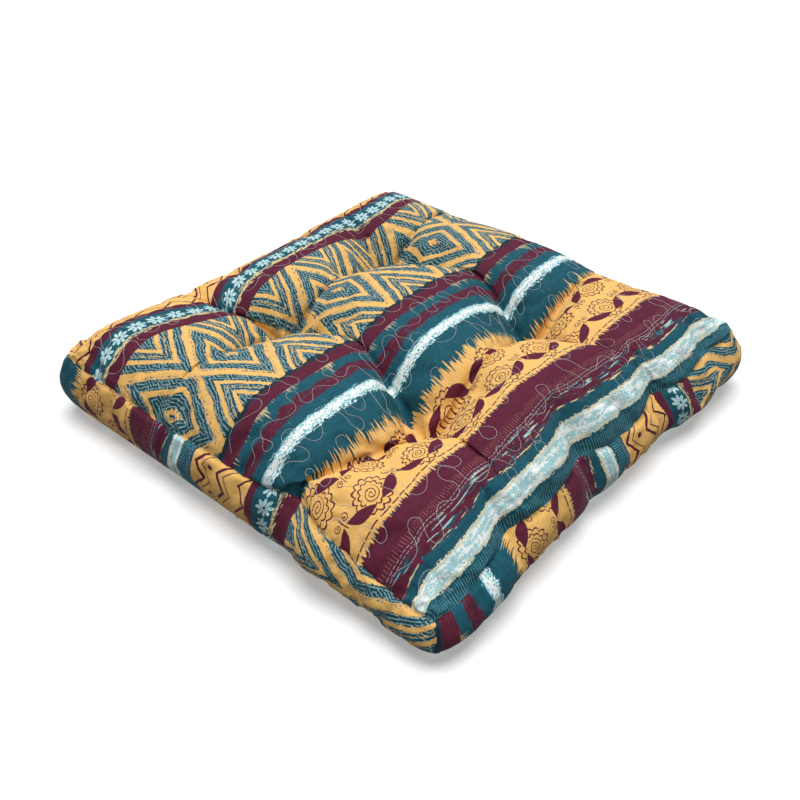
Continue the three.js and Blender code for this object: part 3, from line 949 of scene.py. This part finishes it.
FLOWER_HALF, FLOWER_START = 31.85, 46.0
drawn_s, drawn_t = S + sway * 4 + rough, T - FLOWER_START + sway * 4 + rough
right_t = folded(drawn_t, FLOWER_HALF)
left_t = folded(drawn_t + FLOWER_HALF + 5, FLOWER_HALF)
between_right, between_left = (folded(t + FLOWER_HALF, FLOWER_HALF) for t in (right_t, left_t))
drawing = either(flower(drawn_s - 443, right_t, 18.0), flower(drawn_s - 405, left_t, 18.0),
                 leaves(drawn_s - 440, between_right), leaves(408 - drawn_s, between_left))
dashed_edge = below(abs(S + sway * 6 - 463), 0.7) * below(folded(T + sway * 20, 5.0), 3.2)
colour = paint(colour, flower_ground * either(drawing, dashed_edge), MAROON)

# %% Zigzag band
ZIGZAGS = [(-30, 2.2), (-21, 0.8), (2, 2.2), (11, 0.8), (30, 1.6)]  # place, half the line's width
zig_t, zig_s = folded(T, 15.0), S + sway * 5
zig_lines = either(*[below(abs(zig_s - abs(zig_t) * 0.9 - at), half) for at, half in ZIGZAGS])
dot_reach, _ = polar(zig_s + 9, zig_t)
zig_band = between(hand, REPEAT_START - 1, 44.5)
colour = paint(colour, zig_band, gold)
colour = paint(colour, zig_band * either(zig_lines, below(dot_reach, 3.0)), MAROON)

# %% [markdown]
# ## Finish of the cloth
# Cotton is matt, with a weave that is barely seen and soft creases. Both are too fine for the mesh,
# so a bump carries them: two crossed sines for the weave, noise for the creases.

# %% Weave, sheen and wrinkles of the cloth
WEAVE_TURN = 2 * math.pi / 0.9  # a thread every 0.9 mm
WEAVE_HEIGHT, CRUMPLE_HEIGHT = 0.08, 1.6
feed(cloth_shader, "Base Color", colour)
feed(cloth_shader, "Roughness", 0.78 + rough * 0.15)
fix(cloth_shader, {"Sheen Weight": 0.02, "Sheen Roughness": 0.5, "Specular IOR Level": 0.2})
threads = Field.math("SINE", raw_s * WEAVE_TURN) * Field.math("SINE", T * WEAVE_TURN)
crumple = uneven(raw_s / 9, T / 9, 3.0)
height = threads * WEAVE_HEIGHT + crumple * CRUMPLE_HEIGHT
bump = Field.node("Bump", dict(Strength=0.6, Distance=MM, Height=height))
feed(cloth_shader, "Normal", bump)
print("print nodes:", len(cloth.node_tree.nodes))

# %% [markdown]
# ## Finish of the thread
# The thread is fine and lets some of the print through. A thinner mesh would break up at a distance,
# so the stitches are partly clear instead, and fine noise gives them fibres.

# %% Thread finish
yarn, yarn_shader = new_material("quilting_thread")
thread.data.materials.append(yarn)
place = Field.node("TexCoord", {}, 3)
fibre = Field.node("TexNoise", dict(Vector=place, Scale=900.0, Detail=1.0))
fibre_bump = Field.node("Bump", dict(Strength=0.5, Distance=0.3 * MM, Height=fibre))
feed(yarn_shader, "Base Color", paint(ink("#D9DDD8"), fibre, ink("#F3F3EE")))
feed(yarn_shader, "Roughness", 0.45 + fibre * 0.25)
feed(yarn_shader, "Normal", fibre_bump)
fix(yarn_shader, {"Alpha": 0.62})
print("thread nodes:", len(yarn.node_tree.nodes))

# %% [markdown]
# ## Camera
# The camera stands where the photo's corners and seams say it stood. Bearing, height and roll give
# its axes, which are turned a little so that the origin is seen where the photo has it.

# %% Camera
BEARING, HEIGHT_ANGLE, ROLL = (math.radians(degrees) for degrees in (41.477, 36.487, -0.329))
FOCAL_PX, PICTURE_PX, SENSOR_MM = 940.57, 800, 36
EYE, SEEN_ORIGIN_PX = Vector((0.5850, -0.6628, 0.6569)), (404.93, 392.35)
level = math.cos(HEIGHT_ANGLE)
back = Vector((math.sin(BEARING) * level, -math.cos(BEARING) * level, math.sin(HEIGHT_ANGLE)))
right = Vector((0, 0, 1)).cross(back).normalized()
upright = back.cross(right)
right, upright = (math.cos(ROLL) * right + math.sin(ROLL) * upright,
                  math.cos(ROLL) * upright - math.sin(ROLL) * right)
aside, aloft = (PICTURE_PX / 2 - at for at in SEEN_ORIGIN_PX)
back = (back - right * aside / FOCAL_PX + upright * aloft / FOCAL_PX).normalized()
right = (right - back * right.dot(back)).normalized()
upright = back.cross(right)
camera = bpy.data.objects.new("camera", bpy.data.cameras.new("camera"))
camera.data.sensor_width = SENSOR_MM
camera.data.lens = FOCAL_PX / PICTURE_PX * SENSOR_MM
camera.matrix_world = Matrix.Translation(EYE) @ Matrix((right, upright, back)).transposed().to_4x4()
scene.collection.objects.link(camera)
scene.camera = camera
print("camera at", [round(c, 3) for c in EYE])

# %% [markdown]
# ## Floor and light
# The photo has soft light from above, a white surround, and a border darker than the top. So the
# surround is dim but looks white to the camera, and one large soft lamp shines from nearly overhead.
# The floor glows a little, which keeps its shadow faint, and sends no light back.

# %% Floor, surround and lamp
FLOOR_HALF, FLOOR_GREY, FLOOR_GLOW = 6.0, 0.7, 0.3
SURROUND_LIGHT, SURROUND_SEEN = 0.22, 1.0
LAMP_STRENGTH, LAMP_SPREAD, LAMP_AIM = 3.3, math.radians(50), Vector((0.1, -0.15, -1.0))
corners = np.array([[-1.0, -1, 0], [1, -1, 0], [1, 1, 0], [-1, 1, 0]]) * FLOOR_HALF
floor = put("floor", corners, np.array([[0, 1, 2, 3]]))
paper, paper_shader = new_material("pale_floor")
fix(paper_shader, {"Base Color": (FLOOR_GREY, FLOOR_GREY, FLOOR_GREY, 1), "Roughness": 0.9,
                   "Emission Color": (1, 1, 1, 1), "Emission Strength": FLOOR_GLOW})
floor.data.materials.append(paper)
floor.visible_diffuse = False
studio = bpy.data.worlds.new("studio")
studio.use_nodes = True
Field.tree = studio.node_tree
dim, bright = (Field.node("Background", dict(Color=(1, 1, 1, 1), Strength=strength))
               for strength in (SURROUND_LIGHT, SURROUND_SEEN))
seen_by_camera = Field.node("LightPath", {})
surround = Field.node("MixShader", {0: seen_by_camera, 1: dim, 2: bright})
feed(studio.node_tree.nodes["World Output"], "Surface", surround)
scene.world = studio
lamp = bpy.data.lights.new("window_light", "SUN")
lamp.energy, lamp.angle = LAMP_STRENGTH, LAMP_SPREAD
window = bpy.data.objects.new("window_light", lamp)
window.rotation_euler = LAMP_AIM.to_track_quat("-Z", "Y").to_euler()
scene.collection.objects.link(window)
scene.view_settings.view_transform = "Standard"
print("floor %.0f m wide, lamp %.1f" % (2 * FLOOR_HALF, LAMP_STRENGTH))
